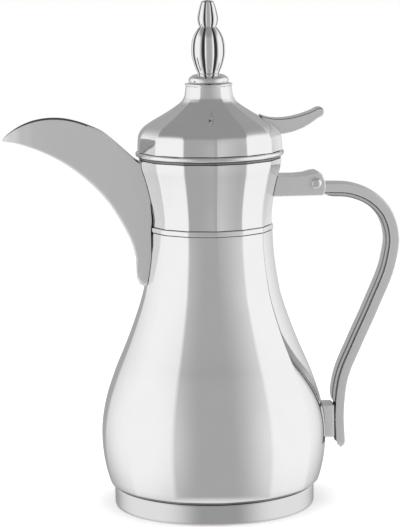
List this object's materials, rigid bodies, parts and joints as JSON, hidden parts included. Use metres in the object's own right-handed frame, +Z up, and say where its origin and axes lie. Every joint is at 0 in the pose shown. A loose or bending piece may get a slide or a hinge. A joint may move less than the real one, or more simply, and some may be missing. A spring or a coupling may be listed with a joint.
{
  "type": "insulated dallah coffee pot",
  "caption": "Insulated dallah coffee pot with a faceted steel body, open beak spout, riveted strap handle and a screw-in lid whose thumb lever lifts a pour valve.",
  "frame": {"origin": "on the pot's axis, in the flat plane it stands on", "axes": "+Z up along the pot's axis, +X towards the handle, -X towards the spout"},
  "size_m": [0.2338, 0.134, 0.3],
  "materials": {
    "polished_steel": "mirror polished",
    "satin_steel": "fine satin",
    "grip_steel": "lengthwise ribs",
    "liner_steel": "drawn steel",
    "screw_steel": "turned",
    "spring_steel": "drawn wire",
    "black_plastic": "moulded, fine texture",
    "silicone": "matt silicone"
  },
  "bodies": {
    "pot": {"foot_ring": "polished_steel", "base_cap": "black_plastic", "liner_support": "silicone", "outer_body": "polished_steel", "inner_liner": "liner_steel", "neck_ring": "polished_steel", "neck_shell": "polished_steel", "rim_ring": "polished_steel", "pour_collar": "black_plastic", "spout_shell": "satin_steel", "spout_hood": "satin_steel", "spout_floor": "liner_steel", "handle_channel": "satin_steel", "handle_strip": "grip_steel", "handle_bracket": "satin_steel", "handle_rivet": "polished_steel", "handle_boss": "satin_steel", "boss_screw": "screw_steel", "bracket_screw_1": "screw_steel", "bracket_screw_2": "screw_steel"},
    "lid_seal": {"lid_gasket": "silicone"},
    "lid": {"lid_bead": "polished_steel", "lid_dome": "polished_steel", "lid_plate": "black_plastic", "lid_screw_1": "screw_steel", "lid_screw_2": "screw_steel", "lid_screw_3": "screw_steel", "stopper_body": "black_plastic", "stopper_gasket": "silicone", "valve_spring": "spring_steel", "lever_bracket": "screw_steel", "lever_pin": "screw_steel", "finial_base": "polished_steel", "finial_bulb": "polished_steel", "finial_tip": "polished_steel", "finial_stud": "screw_steel", "finial_nut": "screw_steel"},
    "lever": {"thumb_lever": "satin_steel"},
    "valve": {"valve_seal": "silicone", "valve_plug": "black_plastic", "valve_stem": "screw_steel"}
  },
  "joints": [
    {"name": "lid_lift", "type": "slide", "parent": "pot", "child": "lid_seal", "axis": [0, 0, 1], "range_m": [0, 0.07]},
    {"name": "lid_turn", "type": "hinge", "parent": "lid_seal", "child": "lid", "pos_m": [0, 0, 0.209], "axis": [0, 0, 1], "range_deg": [0, 90]},
    {"name": "valve_lift", "type": "slide", "parent": "lid", "child": "valve", "axis": [0, 0, 1], "range_m": [0, 0.0046], "stiffness_N_per_m": 40, "springref_m": -0.0125, "deforming": ["valve_spring"]},
    {"name": "lever_press", "type": "hinge", "parent": "lid", "child": "lever", "pos_m": [0.0335, 0, 0.222], "axis": [0, 1, 0], "range_deg": [0, 8]}
  ],
  "couplings": [
    {"joint": "lever_press", "follows": "valve_lift", "rad_per_m": 29.85}
  ]
}
